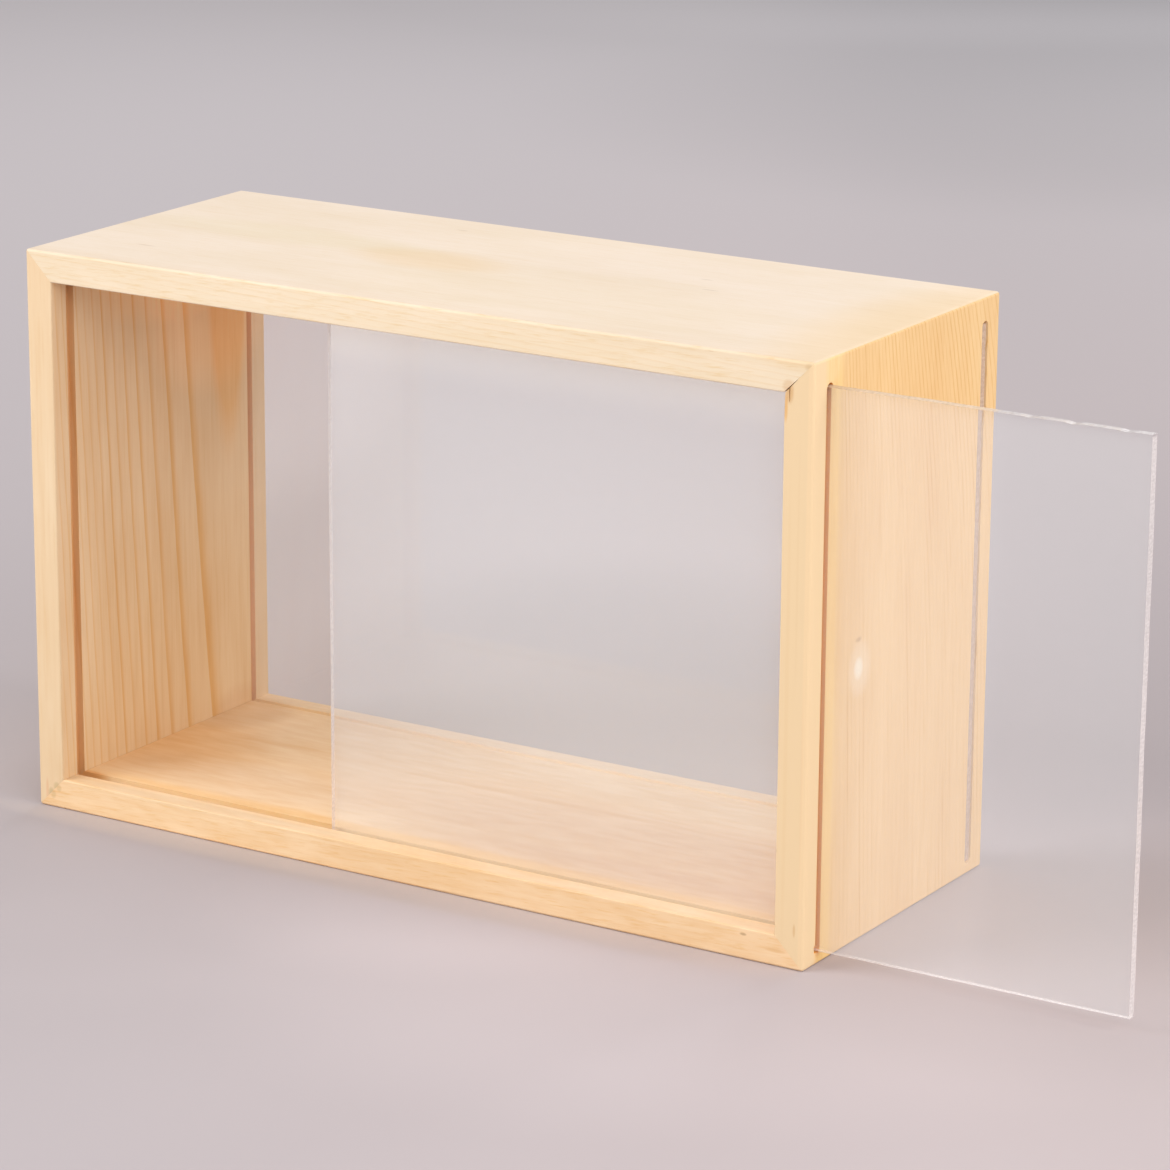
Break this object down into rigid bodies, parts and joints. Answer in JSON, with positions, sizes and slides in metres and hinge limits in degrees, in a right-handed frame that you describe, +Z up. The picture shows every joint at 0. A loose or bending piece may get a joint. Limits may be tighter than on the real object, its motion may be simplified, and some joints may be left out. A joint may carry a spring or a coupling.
{
  "type": "display box",
  "caption": "Wooden display case with mitred corners, open front and back, closed by clear panes that slide in grooves and draw out to the right.",
  "frame": {"origin": "middle of the wooden frame's underside, where it stands", "axes": "+X to the right, along the case's length and the way the panes draw out; +Y to the back, +Z up"},
  "size_m": [0.4077, 0.121, 0.194],
  "materials": {
    "pine_top": "bare planed pine, very pale",
    "pine_bottom": "bare planed pine",
    "pine_left": "bare planed pine with wide orange grain lines",
    "pine_right": "bare planed pine with fine straight grain",
    "spline_wood": "plain plywood strip, hidden",
    "clear_acrylic": "clear sheet, sawn edges"
  },
  "bodies": {
    "frame": {"top_board": "pine_top", "bottom_board": "pine_bottom", "left_board": "pine_left", "right_board": "pine_right", "spline_top_left": "spline_wood", "spline_top_right": "spline_wood", "spline_bottom_left": "spline_wood", "spline_bottom_right": "spline_wood"},
    "front_slider": {"front_pane": "clear_acrylic"},
    "rear_slider": {"rear_pane": "clear_acrylic"}
  },
  "joints": [
    {"name": "front_pane_slide", "type": "slide", "parent": "frame", "child": "front_slider", "axis": [1, 0, 0], "range_m": [-0.108, 0.19]},
    {"name": "rear_pane_slide", "type": "slide", "parent": "frame", "child": "rear_slider", "axis": [1, 0, 0], "range_m": [0, 0.298]}
  ]
}
